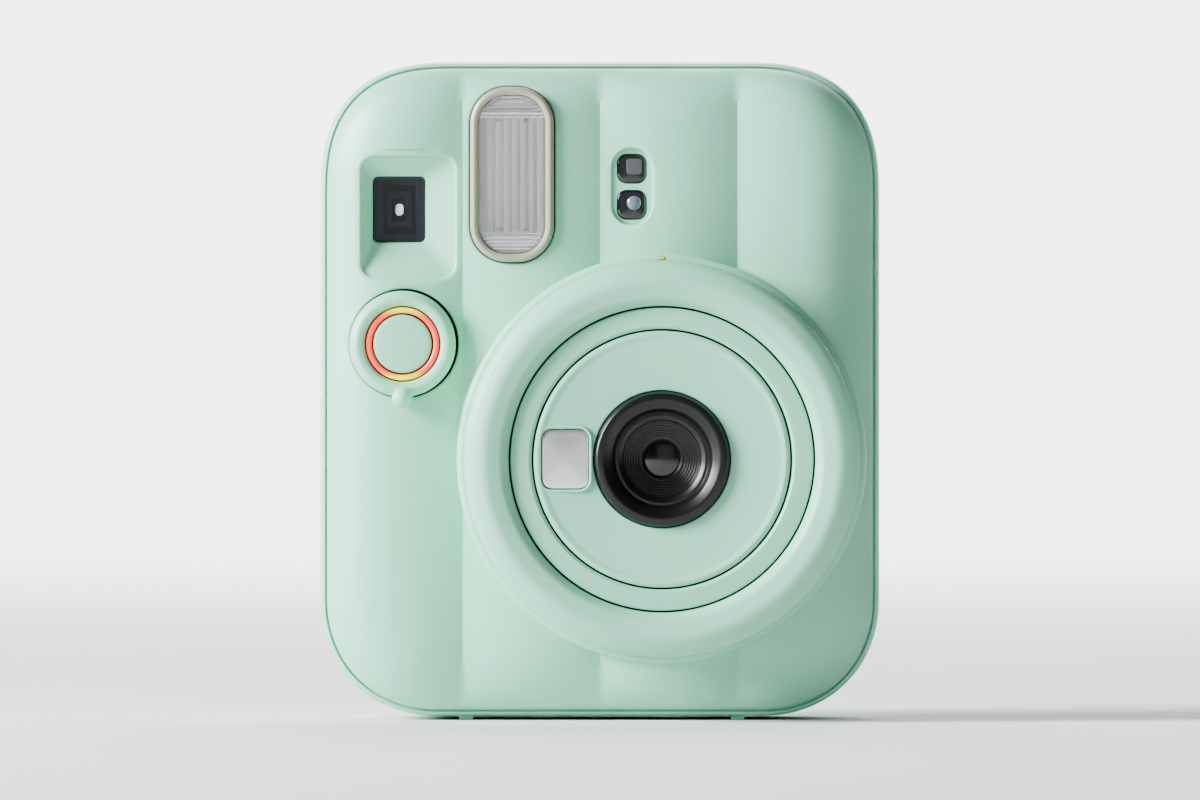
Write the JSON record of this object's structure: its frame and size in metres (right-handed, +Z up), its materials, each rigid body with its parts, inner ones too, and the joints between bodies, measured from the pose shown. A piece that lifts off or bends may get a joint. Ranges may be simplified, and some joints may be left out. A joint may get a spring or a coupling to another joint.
{
  "type": "instant camera",
  "caption": "Upright instant film camera with a fluted rounded body, a large turning lens ring over telescoping barrels, flash, viewfinder and rear film door.",
  "frame": {"origin": "middle of the camera's box on the plane that its feet stand on", "axes": "+Z up, -Y the way the lens looks, +X to the right as seen from the front"},
  "size_m": [0.104, 0.0666, 0.1224],
  "materials": {
    "mint_abs": "satin moulded",
    "greige_abs": "satin moulded",
    "black_abs": "satin moulded",
    "dark_abs": "matt moulded",
    "clear_plastic": "clear moulded",
    "smoked_plastic": "polished",
    "optical_glass": "polished",
    "mirror": "polished",
    "bright_aluminium": "bright rolled sheet",
    "steel": "nickel plated",
    "lamp_plastic": "translucent, lit from behind",
    "yellow_paint": "printed",
    "rubber": "matt",
    "circuit_board": "solder mask",
    "cell_label": "printed sleeve",
    "capacitor_sleeve": "shrink sleeve",
    "white_nylon": "moulded"
  },
  "bodies": {
    "camera_body": {"front_cover": "mint_abs", "rear_cover": "mint_abs", "flash_bezel": "greige_abs", "viewfinder_tunnel": "black_abs", "control_chip": "black_abs", "lens_base": "dark_abs", "light_cone": "dark_abs", "film_chamber": "dark_abs", "battery_holder": "dark_abs", "trigger_coil": "dark_abs", "flash_window": "clear_plastic", "viewfinder_window": "smoked_plastic", "sensor_window_upper": "smoked_plastic", "sensor_window_lower": "smoked_plastic", "eyepiece_lens": "optical_glass", "flash_tube": "optical_glass", "flash_reflector": "bright_aluminium", "winding_motor": "steel", "contact_plate_top": "steel", "contact_plate_bottom": "steel", "case_screw_1": "steel", "case_screw_2": "steel", "lamp_ring": "lamp_plastic", "index_mark": "yellow_paint", "foot_1": "rubber", "foot_2": "rubber", "foot_3": "rubber", "foot_4": "rubber", "main_board": "circuit_board", "button_board": "circuit_board", "sensor_board": "circuit_board", "battery_front": "cell_label", "battery_rear": "cell_label", "flash_capacitor": "capacitor_sleeve"},
    "timer_lever": {"timer_lever": "mint_abs"},
    "shutter_button": {"shutter_button": "mint_abs"},
    "lens_ring": {"lens_ring": "mint_abs"},
    "outer_barrel": {"outer_barrel": "mint_abs"},
    "inner_barrel": {"inner_barrel": "mint_abs", "selfie_mirror": "mirror", "lens_bezel": "black_abs", "front_lens": "optical_glass", "rear_lens": "optical_glass", "shutter_base": "dark_abs", "shutter_cell": "dark_abs", "shutter_solenoid": "steel"},
    "shutter_blade": {"shutter_blade": "steel"},
    "parallax_mask": {"parallax_mask": "dark_abs"},
    "film_door": {"film_door": "mint_abs", "pack_window": "smoked_plastic", "pack_spring": "steel"},
    "door_latch": {"door_latch": "mint_abs"},
    "battery_door": {"battery_door": "mint_abs"},
    "rubber_roller": {"rubber_roller": "rubber"},
    "metal_roller": {"metal_roller": "steel"},
    "idler_gear": {"idler_gear": "white_nylon"},
    "motor_pinion": {"motor_pinion": "white_nylon"},
    "pick_claw": {"pick_claw": "steel"},
    "exit_flap": {"exit_flap": "dark_abs"},
    "counter_dial": {"counter_dial": "white_nylon"}
  },
  "joints": [
    {"name": "shutter_press", "type": "slide", "parent": "camera_body", "child": "shutter_button", "axis": [0, 1, 0], "range_m": [0, 0.0012], "stiffness_N_per_m": 400},
    {"name": "timer_turn", "type": "hinge", "parent": "camera_body", "child": "timer_lever", "pos_m": [-0.0366, -0.0115, 0.0699], "axis": [0, 1, 0], "range_deg": [0, 50]},
    {"name": "ring_turn", "type": "hinge", "parent": "camera_body", "child": "lens_ring", "pos_m": [0.0114, -0.024, 0.0486], "axis": [0, -1, 0], "range_deg": [0, 70]},
    {"name": "outer_barrel_extend", "type": "slide", "parent": "camera_body", "child": "outer_barrel", "axis": [0, -1, 0], "range_m": [0, 0.0065]},
    {"name": "inner_barrel_extend", "type": "slide", "parent": "outer_barrel", "child": "inner_barrel", "axis": [0, -1, 0], "range_m": [0, 0.0065]},
    {"name": "shutter_swing", "type": "hinge", "parent": "inner_barrel", "child": "shutter_blade", "pos_m": [0.0204, -0.0237, 0.0536], "axis": [0, -1, 0], "range_deg": [0, 48], "stiffness_Nm_per_rad": 0.002},
    {"name": "parallax_shift", "type": "slide", "parent": "camera_body", "child": "parallax_mask", "axis": [1, 0, 0], "range_m": [0, 0.0012]},
    {"name": "film_door_swing", "type": "hinge", "parent": "camera_body", "child": "film_door", "pos_m": [0.045, 0.0331, 0.0607], "axis": [0, 0, -1], "range_deg": [0, 100]},
    {"name": "latch_slide", "type": "slide", "parent": "film_door", "child": "door_latch", "axis": [0, 0, 1], "range_m": [0, 0.0025]},
    {"name": "battery_door_swing", "type": "hinge", "parent": "camera_body", "child": "battery_door", "pos_m": [-0.0402, 0.00965, 0.0039], "axis": [0, -1, 0], "range_deg": [0, 100]},
    {"name": "film_rollers", "type": "hinge", "parent": "camera_body", "child": "rubber_roller", "pos_m": [0.0114, 0.0109, 0.1072], "axis": [1, 0, 0], "continuous": true},
    {"name": "metal_roller_spin", "type": "hinge", "parent": "camera_body", "child": "metal_roller", "pos_m": [0.0114, 0.0179, 0.1072], "axis": [1, 0, 0], "continuous": true},
    {"name": "idler_spin", "type": "hinge", "parent": "camera_body", "child": "idler_gear", "pos_m": [0.046, 0.00765, 0.10157], "axis": [1, 0, 0], "continuous": true},
    {"name": "motor_spin", "type": "hinge", "parent": "camera_body", "child": "motor_pinion", "pos_m": [0.046, -0.002, 0.1042], "axis": [1, 0, 0], "continuous": true},
    {"name": "claw_stroke", "type": "slide", "parent": "camera_body", "child": "pick_claw", "axis": [0, 0, 1], "range_m": [0, 0.006], "stiffness_N_per_m": 60},
    {"name": "flap_swing", "type": "hinge", "parent": "camera_body", "child": "exit_flap", "pos_m": [0.0114, 0.0179, 0.1174], "axis": [1, 0, 0], "range_deg": [-55, 0], "stiffness_Nm_per_rad": 0.002},
    {"name": "counter_turn", "type": "hinge", "parent": "camera_body", "child": "counter_dial", "pos_m": [-0.035, 0.0286, 0.042], "axis": [0, 1, 0], "range_deg": [0, 330]}
  ],
  "couplings": [
    {"joint": "outer_barrel_extend", "follows": "ring_turn", "m_per_rad": 0.0053203},
    {"joint": "inner_barrel_extend", "follows": "ring_turn", "m_per_rad": 0.0053203},
    {"joint": "parallax_shift", "follows": "ring_turn", "m_per_rad": 0.0009822},
    {"joint": "metal_roller_spin", "follows": "film_rollers", "ratio": -1},
    {"joint": "idler_spin", "follows": "film_rollers", "ratio": -1.1667},
    {"joint": "motor_spin", "follows": "film_rollers", "ratio": 3.5}
  ]
}
